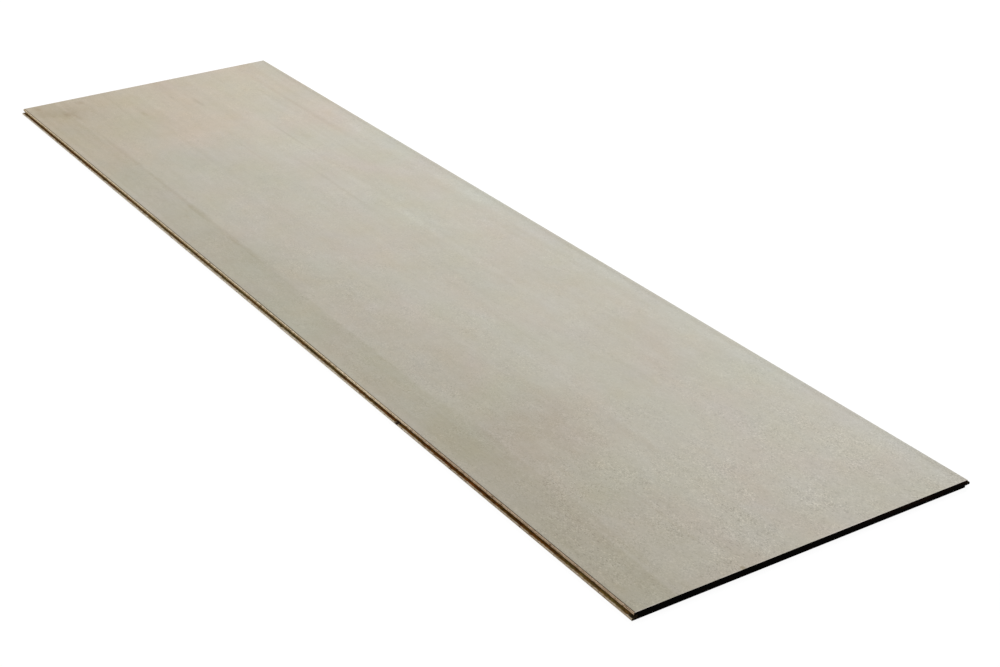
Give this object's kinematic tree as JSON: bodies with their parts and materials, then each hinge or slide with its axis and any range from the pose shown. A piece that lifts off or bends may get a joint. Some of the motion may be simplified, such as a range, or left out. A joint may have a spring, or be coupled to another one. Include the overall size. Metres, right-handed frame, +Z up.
{
  "type": "chipboard wall panel",
  "caption": "Flat chipboard wall panel with a printed concrete-look face, a groove with a longer back lip on one long edge and a tongue on the other.",
  "frame": {"origin": "under the middle of the panel, on the floor, at the bottom centre of its box", "axes": "+X across the panel towards the tongue, +Y along its length away from the dark end seen in the picture, +Z up out of the printed face"},
  "size_m": [0.6288, 2.42, 0.012],
  "materials": {
    "printed_face": "matt printed foil in a beige-grey concrete look over chipboard",
    "bare_chipboard": "bare machined chipboard with dark and pale chips, rough",
    "dark_end": "near-black sealed short end, matt"
  },
  "bodies": {
    "root": {"wall_panel": "printed_face"}
  },
  "joints": []
}
